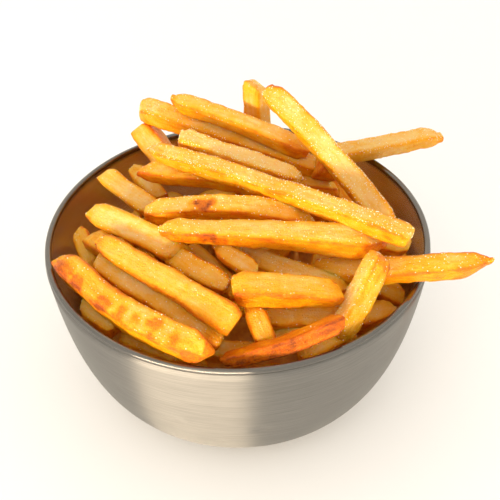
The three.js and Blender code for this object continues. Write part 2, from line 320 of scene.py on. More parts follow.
def fry_axis(fry):
    """The straight line from end to end, and the ways left and up across it."""
    start = np.array(fry.start, float)
    end = np.array(fry.end, float)
    along = (end - start) / np.linalg.norm(end - start)
    left = np.cross([0, 0, 1], along)
    left /= np.linalg.norm(left)
    return start, end, along, left, np.cross(along, left)


def bowed_point(fry, axis, share):
    """A point of the bowed middle of a fry."""
    start, end, _, left, up = axis
    swell = math.sin(math.pi * share)
    return start + (end - start) * share + up * fry.bow[0] * swell + left * fry.bow[1] * swell


def thickness(fry, share):
    return fry.thick[0] + (fry.thick[1] - fry.thick[0]) * share


def ring_places(fry, length, spacing):
    """How far along each ring of the fry lies, and its share of the full thickness."""
    places = []
    for thick, blunt in zip(fry.thick, fry.blunt):
        taper = TAPER * thick * (TAPER_REST - blunt)
        edge = min(CAP_EDGE, taper / 2)
        end = []
        for i in range(1, CAP_RINGS + 1):
            wide = math.sin(i / CAP_RINGS * math.pi / 2)
            depth = edge * (1 - (1 - wide**CAP_POWER) ** (1 / CAP_POWER))
            end.append((depth, wide * blunt))
        steps = max(2, round((taper - edge) / spacing))
        for i in range(1, steps + 1):
            share = i / steps
            end.append((edge + (taper - edge) * share, blunt + (1 - blunt) * (1 - (1 - share) ** SHOULDER)))
        places.append(end)
    first, last = places
    body = max(2, round((length - first[-1][0] - last[-1][0]) / spacing))
    middle = np.linspace(first[-1][0], length - last[-1][0], body + 1)[1:-1]
    rings = first + [(far, 1.0) for far in middle] + [(length - far, wide) for far, wide in reversed(last)]
    return np.array(rings)


def samples_along(far, place):
    """Points at which relief changes only along the fry. Another place gives another relief."""
    return np.concatenate([far, far * 0 + place, far * 0], axis=1)


def corner_stretch(far, a, b, edge, chance):
    """How much further out each point of each ring lies than on an even section."""
    stretch = np.zeros((len(far), a.shape[1]))
    for side, top in ((1, 1), (-1, 1), (-1, -1), (1, -1)):
        lane = new_seed(chance)
        samples = samples_along(far, lane % 97)
        wander = LONG_WANDER * relief(samples, LONG_WAVE, lane)
        wander += SHORT_WANDER * relief(samples, SHORT_WAVE, lane + 1)
        wander += chance.uniform(*CORNER_OFFSET)
        stretch += (1 + side * a) * (1 + top * b) / 4 * wander[:, None]
    samples = samples_along(far, 0)
    for face, reach in enumerate((a, -a, b, -b)):
        depth = SINK + SINK_CHANGE * relief(samples + face * FACE_SHIFT, SINK_WAVE, new_seed(chance))
        flat = smooth_step(ON_FACE, 1.0, np.maximum(reach, 0))
        stretch -= depth[:, None] * flat * (1 - np.clip(edge / SINK_EDGE, 0, 1) ** 2)
    return stretch


def fry_shape(fry, spacing, around, seed):
    """One fry as vertices, quads, triangles, each vertex's browning with its painted shade, and its place in
    the grain.
    """
    chance = np.random.default_rng(seed)
    start, end, along, left, up = fry_axis(fry)
    length = np.linalg.norm(end - start)
    rings = ring_places(fry, length, spacing)
    far = rings[:, :1]
    share = far / length
    thick = thickness(fry, share)
    half = thick / 2 * PLUMP * rings[:, 1:]

    section = section_points(around)
    a, b = section[:, 0][None, :], section[:, 1][None, :]
    power = EDGE_POWER + chance.uniform(*EDGE_SPREAD)
    rounded = (np.abs(a) ** power + np.abs(b) ** power) ** (-1 / power)
    edge = np.minimum(np.abs(a), np.abs(b)) * rounded
    stretch = corner_stretch(far, a, b, edge, chance)
    x = a * rounded * (1 + stretch) * half
    y = b * rounded * (1 + stretch) * half

    # Slanted ends: the section slides along the fry near each end.
    cut = chance.uniform(-SLANT, SLANT, (2, 2))
    near_first = np.exp(-far / SLANT_REACH)
    near_last = np.exp(-(length - far) / SLANT_REACH)
    slide = near_first * (cut[0, 0] * x + cut[0, 1] * y) + near_last * (cut[1, 0] * x + cut[1, 1] * y)
    lean = chance.uniform(-1, 1, (2, 2))
    spare = (thick / 2 - half) * LEAN
    x = x + spare * np.where(share < 0.5, lean[0, 0], lean[1, 0])
    y = y + spare * np.where(share < 0.5, lean[0, 1], lean[1, 1])

    twist = np.radians(fry.turn + chance.uniform(-TWIST, TWIST) * (share - 0.5))
    across = x * np.cos(twist) - y * np.sin(twist)
    above = x * np.sin(twist) + y * np.cos(twist)
    swell = np.sin(np.pi * share)
    wave = WAVE * relief(samples_along(far, 0) + WAVE_SHIFT, WAVE_LENGTH, new_seed(chance))[:, None]
    above = above + fry.bow[0] * swell + wave * swell
    across = across + fry.bow[1] * swell

    def placed(distance, across, above):
        return start + distance[..., None] * along + across[..., None] * left + above[..., None] * up

    body = placed(far + slide, across, above).reshape(-1, 3)
    tips = np.stack([body[:around].mean(0), body[-around:].mean(0)])

    # The crust's own relief, outwards from the fry's middle line.
    centre = placed(far[:, 0], across.mean(1), above.mean(1))
    outward = body - np.repeat(centre, around, axis=0)
    outward /= np.maximum(np.linalg.norm(outward, axis=1, keepdims=True), 1e-9)
    shift = new_seed(chance)
    rough = BROAD_RELIEF * relief(body, BROAD_SIZE, shift)
    rough += MIDDLE_RELIEF * relief(body, MIDDLE_SIZE, shift + 1)
    rough += BLISTERS * (DRY_BLISTERS + fry.gloss) * relief(body, BLISTER_SIZE, shift + 2)
    full = np.repeat(rings[:, 1], around)
    body += outward * (rough * smooth_step(*RELIEF_FADE, full))[:, None]
    points = np.concatenate([body, tips])

    crust_and_shade = fry_crust_and_shade(fry, points, far, length, a, b, edge, chance)
    grain_along = np.repeat(far[:, 0] / GRAIN_LENGTH, around)
    grain = np.stack([grain_along, x.reshape(-1), y.reshape(-1) + GRAIN_SHIFT * seed], 1)
    grain = np.concatenate([grain, grain[:1], grain[-1:]])
    return points, ring_quads(len(rings), around), end_triangles(len(rings), around), crust_and_shade, grain


# ------------ the browning of a fry

# What each face and the long corners add to the fry's tone, and how far the faces differ by chance. The
# faces' part is partly browning and partly painted shade: upper faces paler, sides and undersides darker.
TOP_TONE_AND_PAINTED_LIGHT = -0.1
SIDE_TONE_AND_PAINTED_SHADE = 0.22
UNDER_TONE_AND_PAINTED_SHADE = 0.3
TONE_SPREAD = 0.05
RIDGE_TONE = 0.26
RIDGE_EDGE = (0.5, 0.9)
OILY_TONE = 0.08
# A face's tone reaches its edges by this power.
FACE_POWER = 8

# How strongly the ends are browned, over which length, and how uneven that is.
TIP_TONE = 0.6
TIP_REACH = 6
TIP_POWER = 1.5
TIP_EVEN = 0.75
TIP_UNEVEN = 0.35

# Patches and mottling of the crust, with their sizes in millimetres.
PATCH_TONE = 0.13
PATCH_SIZE = 9
MOTTLE_TONE = 0.07
MOTTLE_SIZE = 3.2

# Past BROWNEST the crust darkens at only this rate, but for burnt spots.
BROWNEST = 0.76
PAST_BROWNEST = 0.35

# A spot's strength, its ragged edge and where it fades, in spot sizes.
SPOT_TONE = 0.75
SPOT_RAGGED = 0.35
RAG_SIZE = 2.2
SPOT_FADE = (0.35, 1.05)


def fry_crust_and_shade(fry, points, far, length, a, b, edge, chance):
    """How browned each vertex is, from 0, pale, to 1, burnt, with painted shade: upper faces paler, sides
    and undersides darker.
    """
    around = a.shape[1]
    # Painted shade mixed with browning: upper faces paler, sides and undersides darker.
    faces = (
        (TOP_TONE_AND_PAINTED_LIGHT, np.maximum(b, 0) ** FACE_POWER),
        (UNDER_TONE_AND_PAINTED_SHADE, np.maximum(-b, 0) ** FACE_POWER),
        (SIDE_TONE_AND_PAINTED_SHADE, np.abs(a) ** FACE_POWER),
    )
    face = sum(weight * (tone + chance.uniform(-TONE_SPREAD, TONE_SPREAD)) for tone, weight in faces)
    face = face / sum(weight for _, weight in faces)
    ridge = RIDGE_TONE * smooth_step(*RIDGE_EDGE, edge)
    tone = fry.tone + OILY_TONE * fry.gloss + face + ridge + 0 * far
    crust_and_shade = np.concatenate([tone.reshape(-1), [fry.tone, fry.tone]])

    first_end = fry.tips[0] * np.exp(-((far / TIP_REACH) ** TIP_POWER))
    last_end = fry.tips[1] * np.exp(-(((length - far) / TIP_REACH) ** TIP_POWER))
    browning = np.concatenate([np.repeat((first_end + last_end)[:, 0], around), fry.tips])
    shift = new_seed(chance)
    patches = relief(points, PATCH_SIZE, shift)
    mottle = relief(points, MOTTLE_SIZE, shift + 1)
    at_ends = TIP_TONE * browning * (TIP_EVEN + TIP_UNEVEN * mottle)
    crust_and_shade += at_ends + PATCH_TONE * patches + MOTTLE_TONE * mottle
    crust_and_shade = np.minimum(crust_and_shade, BROWNEST + PAST_BROWNEST * (crust_and_shade - BROWNEST))

    axis = fry_axis(fry)
    left, up = axis[3:]
    for share, turn, size, strength in SPOTS.get(fry.name, ()):
        turn = math.radians(turn)
        away = (up * math.cos(turn) - left * math.sin(turn)) * thickness(fry, share) / 2
        on_crust = bowed_point(fry, axis, share) + away
        distance = np.linalg.norm(points - on_crust, axis=1) / size
        ragged = distance + SPOT_RAGGED * relief(points, RAG_SIZE, shift + 2)
        crust_and_shade += SPOT_TONE * strength * (1 - smooth_step(*SPOT_FADE, ragged))
    return np.clip(crust_and_shade, 0, 1)


def joined_fries(name, fries, spacing, around, seed, material):
    """One mesh piece that holds a list of fries."""
    points, faces, crusts_and_shade, glosses, grains = [], [], [], [], []
    for i, fry in enumerate(fries):
        own, quads, triangles, crust_and_shade, grain = fry_shape(fry, spacing, around, seed + i)
        base = sum(len(p) for p in points)
        points.append(own)
        crusts_and_shade.append(crust_and_shade)
        glosses.append(np.full(len(own), fry.gloss))
        grains.append(grain * MM)
        faces += (quads + base).tolist()
        faces += (triangles + base).tolist()
    piece = add_mesh(name, np.concatenate(points) * MM, faces, [material])
    attributes = piece.data.attributes
    for key, values in (("crust_and_shade", crusts_and_shade), ("gloss", glosses)):
        layer = attributes.new(key, "FLOAT", "POINT")
        layer.data.foreach_set("value", np.concatenate(values).astype(np.float32))
    layer = attributes.new("grain", "FLOAT_VECTOR", "POINT")
    layer.data.foreach_set("vector", np.concatenate(grains).astype(np.float32).reshape(-1))
    return piece


# ------------ salt

# Grains for each vertex of an oily fry, what a dry fry gets of that, how far past upright a face may
# lean that carries grains, and how browned its crust may be.
SALT = 0.25
SALT_DRY = 0.06
SALT_OVERHANG = 0.35
SALT_DARKEST = 0.6
# A grain's half size and its shift along the crust in millimetres, and how uneven its corners are.
SALT_SIZE = (0.15, 0.31)
SALT_SHIFT = 0.4
SALT_UNEVEN = (0.7, 1.2)
SALT_SEED = 11


def vertex_values(source, key, count, width=1):
    """One value, or a row of width values, for each vertex."""
    values = np.zeros(count * width)
    source.foreach_get(key, values)
    return values.reshape(-1, width) if width > 1 else values


def salt_piece(fries_pieces, material):
    """Fine salt on the upper sides of the fries, most of it on the oily ones."""
    chance = np.random.default_rng(SALT_SEED)
    corners = np.array([(1, 0, 0), (-1, 0, 0), (0, 1, 0), (0, -1, 0), (0, 0, 1), (0, 0, -1)], float)
    sides = [(0, 2, 4), (2, 1, 4), (1, 3, 4), (3, 0, 4), (2, 0, 5), (1, 2, 5), (3, 1, 5), (0, 3, 5)]
    grains, grain_faces = [], []
    for fries in fries_pieces:
        mesh = fries.data
        count = len(mesh.vertices)
        places = vertex_values(mesh.vertices, "co", count, 3)
        normals = vertex_values(mesh.vertices, "normal", count, 3)
        gloss = vertex_values(mesh.attributes["gloss"].data, "value", count)
        crust_and_shade = vertex_values(mesh.attributes["crust_and_shade"].data, "value", count)
        facing_up = np.clip(normals[:, 2] + SALT_OVERHANG, 0, 1)
        likely = SALT * (SALT_DRY + gloss) * facing_up * (crust_and_shade < SALT_DARKEST)
        for i in np.nonzero(chance.random(count) < likely)[0]:
            size = chance.uniform(*SALT_SIZE) * MM
            turned = corners @ np.linalg.qr(chance.normal(size=(3, 3)))[0]
            shift = chance.uniform(-SALT_SHIFT, SALT_SHIFT, 3) * MM
            middle = places[i] + shift - normals[i] * shift.dot(normals[i])
            grain_faces.append(np.array(sides) + len(grains) * len(corners))
            grains.append(middle + turned * size * chance.uniform(*SALT_UNEVEN, (6, 1)))
    grain_faces = np.concatenate(grain_faces).tolist()
    return add_mesh("salt", np.concatenate(grains), grain_faces, [material], smooth=False)


# ------------ materials


def from_srgb(colour):
    """A colour given from 0 to 255 as the linear values that a shader takes."""
    linear = []
    for value in colour:
        value /= 255
        linear.append(value / 12.92 if value <= 0.04045 else ((value + 0.055) / 1.055) ** 2.4)
    return (*linear, 1.0)


class Graph:
    """A new material and short ways to add to its nodes."""

    def __init__(self, name):
        self.material = bpy.data.materials.new(name)
        self.material.use_nodes = True
        self.nodes = self.material.node_tree.nodes
        self.link = self.material.node_tree.links.new
        self.shader = self.nodes["Principled BSDF"].inputs

    def place(self):
        return self.nodes.new("ShaderNodeTexCoord").outputs["Object"]

    def attribute(self, name, output="Fac"):
        node = self.nodes.new("ShaderNodeAttribute")
        node.attribute_name = name
        return node.outputs[output]

    def set(self, values):
        for name, value in values.items():
            self.shader[name].default_value = value

    def math(self, operation, *values):
        node = self.nodes.new("ShaderNodeMath")
        node.operation = operation
        for socket, value in zip(node.inputs, values):
            if isinstance(value, (int, float)):
                socket.default_value = value
            else:
                self.link(value, socket)
        return node.outputs[0]

    def combine(self, *values):
        node = self.nodes.new("ShaderNodeCombineXYZ")
        for socket, value in zip(node.inputs, values):
            self.link(value, socket)
        return node.outputs["Vector"]

    def noise(self, vector, size, detail=3.0, roughness=0.55):
        """Noise whose features are about size metres across."""
        node = self.nodes.new("ShaderNodeTexNoise")
        node.inputs["Scale"].default_value = 1 / size
        node.inputs["Detail"].default_value = detail
        node.inputs["Roughness"].default_value = roughness
        self.link(vector, node.inputs["Vector"])
        return node.outputs["Fac"]

    def colour(self, value, stops):
        """The base colour, from a value by way of stops of place and colour."""
        node = self.nodes.new("ShaderNodeValToRGB")
        elements = node.color_ramp.elements
        elements.remove(elements[-1])
        elements[0].position, elements[0].color = stops[0][0], from_srgb(stops[0][1])
        for place, colour in stops[1:]:
            elements.new(place).color = from_srgb(colour)
        self.link(value, node.inputs["Fac"])
        self.link(node.outputs["Color"], self.shader["Base Color"])

    def bump(self, height, strength, distance, socket="Normal"):
        node = self.nodes.new("ShaderNodeBump")
        node.inputs["Strength"].default_value = strength
        node.inputs["Distance"].default_value = distance
        self.link(height, node.inputs["Height"])
        self.link(node.outputs["Normal"], self.shader[socket])


# Stops of a colour ramp: the place, and the colour from 0 to 255.
CRUST_STOPS = [
    (0.0, (244, 200, 118)),
    (0.16, (244, 186, 78)),
    (0.36, (242, 172, 28)),
    (0.54, (238, 151, 0)),
    (0.68, (222, 124, 0)),
    (0.85, (206, 102, 2)),
    (1.0, (146, 66, 8)),
]
SALT_STOPS = [(0.35, (255, 240, 180)), (0.65, (255, 250, 228))]
CORE_STOPS = [(0.3, (200, 116, 14)), (0.7, (240, 172, 48))]
STEEL_STOPS = [(0.3, (130, 127, 121)), (0.7, (158, 154, 147))]
# The rim's steel is darker than the wall's: painted shade on the bead, with a smoother polish.
RIM_PAINTED_SHADE_STOPS = [(0.3, (102, 99, 94)), (0.7, (130, 126, 120))]
# The inside's steel is much lighter than the outside's: painted light on the inner wall, with a smoother
# finish.
INSIDE_PAINTED_LIGHT_STOPS = [(0.3, (222, 212, 192)), (0.7, (246, 238, 222))]


def potato_material():
    """Fried potato, browned as the crust value says, which holds painted shade on the fries' sides and
    undersides, mottled, streaked along the fry and oily.
    """
    graph = Graph("fried_potato")
    place = graph.place()
    grain = graph.attribute("grain", "Vector")
    shade = graph.attribute("crust_and_shade")
    for noise, strength in (
        (graph.noise(place, size=0.0035, detail=4.0, roughness=0.6), 0.4),
        (graph.noise(place, size=0.0009, detail=2.0), 0.2),
        (graph.noise(grain, size=0.0016, roughness=0.6), 0.6),
    ):
        change = graph.math("MULTIPLY_ADD", noise, strength, -strength / 2)
        shade = graph.math("ADD", shade, change)
    graph.colour(shade, CRUST_STOPS)

    dull = graph.math("MULTIPLY_ADD", graph.noise(place, size=0.006, detail=2.0), 0.35, 0.3)
    oily = graph.math("MULTIPLY", graph.attribute("gloss"), 0.12)
    graph.link(graph.math("SUBTRACT", dull, oily), graph.shader["Roughness"])
    graph.set({
        "Subsurface Weight": 0.7,
        "Subsurface Radius": (1.0, 0.45, 0.08),
        "Subsurface Scale": 0.0035,
        "Specular IOR Level": 0.2,
        "Coat Weight": 0.12,
        "Coat Roughness": 0.12,
    })

    height = graph.math("MULTIPLY", graph.noise(place, size=0.0024, roughness=0.6), 1.4)
    height = graph.math("ADD", height, graph.noise(place, size=0.0006, roughness=0.6))
    height = graph.math("ADD", height, graph.noise(grain, size=0.0012, roughness=0.6))
    graph.bump(height, strength=0.8, distance=0.0006)
    # A film of oil over fine blisters, which sparkle.
    blisters = graph.noise(place, size=0.0005, detail=2.0, roughness=0.6)
    graph.bump(blisters, strength=1.0, distance=0.0005, socket="Coat Normal")
    return graph.material


def salt_material():
    graph = Graph("salt_grains")
    graph.colour(graph.noise(graph.place(), size=0.002, detail=2.0), SALT_STOPS)
    graph.set({"Roughness": 0.2})
    return graph.material


def core_material():
    """The shaded mass of fries deep in the heap."""
    graph = Graph("deep_potato")
    graph.colour(graph.noise(graph.place(), size=0.004, detail=4.0), CORE_STOPS)
    graph.set({"Roughness": 0.55})
    return graph.material


# How far the brushed lines' noise moves on, in metres, for a turn of one radian.
BRUSHED_ARC = 0.0012


def steel_material(name, stops, dullness):
    """Steel brushed round the bowl, so that the light on it smears up and down."""
    graph = Graph(name)
    place = graph.place()
    parts = graph.nodes.new("ShaderNodeSeparateXYZ")
    graph.link(place, parts.inputs["Vector"])
    # Brushed lines run round the bowl, so the noise hardly changes with the turn about its axis.
    x, y, z = parts.outputs
    radius = graph.nodes.new("ShaderNodeVectorMath")
    radius.operation = "LENGTH"
    graph.link(graph.combine(x, y), radius.inputs[0])
    arc = graph.math("MULTIPLY", graph.math("ARCTAN2", y, x), BRUSHED_ARC)
    lines = graph.combine(radius.outputs["Value"], z, arc)
    fine = graph.noise(lines, size=0.00035, detail=4.0, roughness=0.7)
    graph.colour(fine, stops)

    dull = graph.math("MULTIPLY_ADD", fine, 0.12, dullness)
    cloudy = graph.math("MULTIPLY", graph.noise(place, size=0.02), 0.1)
    graph.link(graph.math("ADD", dull, cloudy), graph.shader["Roughness"])
    graph.set({"Metallic": 1.0, "Anisotropic": 1.0, "Anisotropic Rotation": 0.25})
    tangent = graph.nodes.new("ShaderNodeTangent")
    tangent.direction_type = "RADIAL"
    tangent.axis = "Z"
    graph.link(tangent.outputs["Tangent"], graph.shader["Tangent"])
    graph.bump(fine, strength=0.12, distance=0.0001)
    return graph.material


# ------------ the bowl

# The places of the bowl's finishes among its materials.
OUTSIDE, INSIDE, RIM = 0, 1, 2


def wall_lines():
    """Points up the outside and the inside of the bowl's wall, as radius and height."""
    corners = ((BASE_RADIUS, 0), CORNER_OUT, CORNER_UP, WALL_TOP)
    outside, inside = [], []
    for i in range(WALL_STEPS + 1):
        point, along = curve_point(corners, i / WALL_STEPS)
        outside.append(point)
        inside.append(point - SHEET * np.array([along[1], -along[0]]))
    return outside, inside


def bowl_profile():
    """Radius and height round the bowl's sheet, from the middle of its underside."""
    outside, inside = wall_lines()
    bead = []
    for i in range(BEAD_STEPS + 1):
        angle = BEAD_FROM + (BEAD_TO - BEAD_FROM) * i / BEAD_STEPS
        bead.append(np.array([RIM_RADIUS + BEAD * math.cos(angle), RIM_HEIGHT + BEAD * math.sin(angle)]))
    flat = [np.array([BASE_RADIUS * share, 0.0]) for share in FLAT_SHARES]
    floor = [np.array([BASE_RADIUS * share, SHEET]) for share in reversed(FLAT_SHARES)]
    return np.array(flat + outside + bead + inside[::-1] + floor)


def bowl_piece():
    """The bowl as one turned sheet with dings, in three finishes: the inside lighter as painted light, the
    rim darker as painted shade.
    """
    radius, height = bowl_profile().T
    rows = len(radius)
    first_bead = len(FLAT_SHARES) + WALL_STEPS + 1
    last_bead = first_bead + BEAD_STEPS
    outer = slice(0, first_bead)
    turns = 2 * np.pi * np.arange(BOWL_TURNS) / BOWL_TURNS
    pressed = np.zeros((rows, BOWL_TURNS))
    for turn, middle, size, depth, wide in DINGS:
        around = (turns - math.radians(turn) + np.pi) % (2 * np.pi) - np.pi
        sideways = radius[outer, None] * around / wide
        away = np.hypot(sideways, height[outer, None] - middle) / size
        pressed[outer] += depth * np.exp(-(away**2))
    radius = radius[:, None] - pressed
    grid = np.stack([radius * np.sin(turns), -radius * np.cos(turns), height[:, None] + 0 * turns], -1)
    points = np.concatenate([grid.reshape(-1, 3), [[0, 0, 0], [0, 0, SHEET]]])
    quads = ring_quads(rows, BOWL_TURNS).tolist()
    lids = end_triangles(rows, BOWL_TURNS).tolist()
    # The inside steel is lighter than the outside, as painted light, and the rim darker, as painted shade.
    finishes = [
        steel_material("brushed_steel", STEEL_STOPS, dullness=0.3),
        steel_material("satin_steel_inside_painted_light", INSIDE_PAINTED_LIGHT_STOPS, dullness=0.12),
        steel_material("steel_rim_painted_shade", RIM_PAINTED_SHADE_STOPS, dullness=0.1),
    ]
    piece = add_mesh("steel_bowl", points * MM, quads + lids, finishes)
    finish = np.full(len(quads) + len(lids), OUTSIDE, np.int32)
    finish[first_bead * BOWL_TURNS : last_bead * BOWL_TURNS] = RIM
    finish[last_bead * BOWL_TURNS : len(quads)] = INSIDE
    finish[len(quads) + BOWL_TURNS :] = INSIDE
    piece.data.polygons.foreach_set("material_index", finish)
    return piece


# ------------ the fries deeper in the heap
#
# Lengths are in millimetres. The heap is kept on a grid seen from above, of cells CELL wide, out to
# REACH from the bowl's axis.

CELL = 2.0
REACH = 80

# A fry that shows is a ceiling, COVER_DEPTH thicknesses under its middle, over what lies within
# NEAR_COVER of it. Elsewhere deeper fries reach up to DEEP_LEVEL and the core to CORE_LEVEL. A dome
# ends them all.
NEAR_COVER = 7
COVER_DEPTH = 0.6
DEEP_LEVEL = 73
CORE_LEVEL = 50
DOME_TOP = 85
DOME_MIDDLE = -8
DOME_FALL = 0.0048

# The core stays CORE_DEPTH under the lowest ceiling within CORE_CLEAR cells, above a rounded floor.
CORE_DEPTH = 12
CORE_CLEAR = 4
CORE_FLOOR = 34
CORE_FALL = 0.004

# The core's mesh: rings over its top, vertices in a ring and rings down its side. Its edge lies
# CORE_EDGE below the floor's middle. It rises past that by CORE_STEP at most, and by CORE_RISE for
# each millimetre inwards. It stays off the wall, at the edge and below it, and off the base.
# Its relief is bumps of these heights, sizes and seeds.
CORE_RINGS = 34
CORE_TURNS = 96
CORE_LOWER_RINGS = 14
CORE_EDGE = 4
CORE_RISE = 0.8
CORE_STEP = 30
CORE_WALL_GAP = (0.5, 0.6)
CORE_UNDER = 0.5
CORE_RELIEF = ((1.2, 6, 3), (0.5, 2.6, 4))

# How deeper fries are tried: their number, how far out, how deep the last ones lie and how steeply,
# and at how many points of its length the room for a fry is measured.
PILE_SEED = 7
PILE_TRIES = 3000
PILE_RADIUS = 68
LAYERS = 26
STEEPEST = 0.7
LINE_STEPS = 13

# Shares of a fry's thickness: how far its middle stays below the ceiling and off the wall, how far
# its underside may sink into the core, and how far above its middle the heap then reaches.
ROOM = 0.55
WALL_CLEAR = 0.62
CORE_SINK = 0.6
TOP_SHARE = 0.42
# How near the core or another fry it lies to rest on it, and how far two may press together.
ON_CORE = 2
ON_FRY = 1
PRESSED = 1.4

# Chances for a deeper fry: its heading's mean and spread in degrees, and ranges for the rest.
DEEP_HEADING = (-30, 50)
DEEP_LENGTH = (20, 68)
DEEP_THICK = (7, 9.5)
DEEP_NARROWING = (0.9, 1.05)
DEEP_TURN = (-20, 30)
DEEP_RISE = (-1, 0.5)
DEEP_BEND = (-1.5, 1.5)
DEEP_BLUNT = (0.5, 0.85)
DEEP_TONE = (0.15, 0.4)
DEEP_TIPS = (0.0, 0.3)
DEEP_GLOSS = 0.2

# A fry stands out where its upper side is less than SIGHT_MARGIN below the limit and in sight. It
# is looked for at points this far apart, in steps of SIGHT_STEP towards the eye.
SIGHT_MARGIN = 2.5
SIGHT_SPACING = 6
SIGHT_STEP = 3.0
SIGHT_STEPS = range(2, 40)


def cell_of(x, y):
    return int(round((x + REACH) / CELL)), int(round((y + REACH) / CELL))


def cells_near(x, y, distance):
    """The grid's cells within a distance of a point, as rows and columns."""
    i, j = cell_of(x, y)
    span = int(distance // CELL)
    rows, columns = np.mgrid[i - span : i + span + 1, j - span : j + span + 1]
    near = np.hypot(rows * CELL - REACH - x, columns * CELL - REACH - y) <= distance
    inside = (rows >= 0) & (columns >= 0) & (rows <= 2 * REACH / CELL) & (columns <= 2 * REACH / CELL)
    return rows[near & inside], columns[near & inside]


def lowest_near(grid, cells):
    """The lowest value within a few cells of each cell of a grid."""
    rows, columns = grid.shape
    padded = np.pad(grid, cells, mode="edge")
    lowest = grid.copy()
    for i in range(2 * cells + 1):
        for j in range(2 * cells + 1):
            if math.hypot(i - cells, j - cells) <= cells:
                lowest = np.minimum(lowest, padded[i : i + rows, j : j + columns])
    return lowest


def line_points(fry, step=CELL):
    """Points along the bowed middle of a fry, with the thickness at each."""
    axis = fry_axis(fry)
    count = max(2, round(math.dist(fry.start, fry.end) / step))
    for i in range(count + 1):
        yield bowed_point(fry, axis, i / count), thickness(fry, i / count)


class Pile:
    """The heap below the fries that show: how high it may grow, and what lies in it so far."""

    def __init__(self, shown):
        size = int(2 * REACH / CELL) + 1
        rows, columns = np.mgrid[0:size, 0:size]
        far = np.hypot(rows * CELL - REACH, columns * CELL - REACH)
        cover = np.full((size, size), np.inf)
        for fry in shown:
            for point, thick in line_points(fry):
                i, j = cells_near(point[0], point[1], thick / 2 + NEAR_COVER)
                cover[i, j] = np.minimum(cover[i, j], point[2] - thick * COVER_DEPTH)
        from_middle = np.hypot(rows * CELL - REACH, columns * CELL - REACH - DOME_MIDDLE)
        dome = DOME_TOP - DOME_FALL * from_middle**2
        self.bare = np.isinf(cover)
        self.limit = np.minimum(np.where(self.bare, DEEP_LEVEL, cover), dome)
        self.wall_radius, self.wall_height = np.array(wall_lines()[1]).T
        wall = np.interp(far, self.wall_radius, self.wall_height)
        ceiling = np.where(self.bare, np.minimum(self.limit, CORE_LEVEL), self.limit)
        floor = CORE_FLOOR - CORE_FALL * far**2
        self.core = np.maximum(lowest_near(ceiling, CORE_CLEAR) - CORE_DEPTH, floor)
        self.top = np.maximum(self.core, wall)
        self.lying = np.zeros((0, 4))

    def highest_line(self, middle, heading, length, thick):
        """The highest that a fry can lie below the limit: its height in the middle, and its slope."""
        far = np.linspace(-length / 2, length / 2, LINE_STEPS)
        room = []
        for distance in far:
            x, y = middle[0] + heading[0] * distance, middle[1] + heading[1] * distance
            i, j = cells_near(x, y, thick / 2)
            if len(i) == 0:
                return None
            room.append(self.limit[i, j].min() - thick * ROOM)
        best = None
        for a in range(LINE_STEPS // 2):
            for b in range(LINE_STEPS // 2 + 1, LINE_STEPS):
                slope = (room[b] - room[a]) / (far[b] - far[a])
                height = room[a] - slope * far[a]
                if best is None or height < best[0]:
                    best = (height, slope)
        return best

    def fits(self, fry):
        """Whether a fry stays off the wall and the others, and lies on something."""
        carried = False
        for point, thick in line_points(fry, 2 * CELL):
            wall = np.interp(point[2], self.wall_height, self.wall_radius)
            if np.hypot(point[0], point[1]) + thick * WALL_CLEAR > wall:
                return False
            i, j = cell_of(point[0], point[1])
            under = point[2] - thick / 2
            if under < self.core[i, j] - thick * CORE_SINK:
                return False
            carried = carried or under < self.core[i, j] + ON_CORE
            if len(self.lying):
                away = np.linalg.norm(self.lying[:, :3] - point, axis=1) - (self.lying[:, 3] + thick) / 2
                if away.min() < -PRESSED:
                    return False
                carried = carried or away.min() < ON_FRY
        return carried

    def add(self, fry):
        own = [(*point, thick) for point, thick in line_points(fry)]
        self.lying = np.concatenate([self.lying, own])
        for x, y, z, thick in own:
            i, j = cells_near(x, y, thick / 2)
            self.top[i, j] = np.maximum(self.top[i, j], z + thick * TOP_SHARE)


def shown_tree(shown):
    """A coarse copy of the fries that show, to look past."""
    vertices, faces = [], []
    for i, fry in enumerate(shown):
        points, quads, triangles, _, _ = fry_shape(fry, *COARSE, UPPER_SEED + i)
        base = len(vertices)
        vertices += (points * MM).tolist()
        faces += (quads + base).tolist() + (triangles + base).tolist()
    return BVHTree.FromPolygons(vertices, faces)


def in_sight(point, pile, tree):
    """Whether a point in millimetres is seen from the front past the fries and the heap."""
    start = Vector(point) * MM
    towards = (EYE - start).normalized()
    if tree.ray_cast(start, towards)[0] is not None:
        return False
    for step in SIGHT_STEPS:
        x, y, z = (start + towards * step * SIGHT_STEP * MM) / MM
        if z > DOME_TOP or max(abs(x), abs(y)) > REACH:
            return True
        i, j = cell_of(x, y)
        if z < pile.top[i, j]:
            return False
    return True


def stands_out(fry, pile, tree):
    """Whether a fry would show from the front above the heap, where none is seen."""
    for point, thick in line_points(fry, SIGHT_SPACING):
        i, j = cell_of(point[0], point[1])
        if not pile.bare[i, j] and point[2] + thick / 2 < pile.limit[i, j] - SIGHT_MARGIN:
            continue
        if in_sight(point + np.array([0, 0, thick / 2]), pile, tree):
            return True
    return False


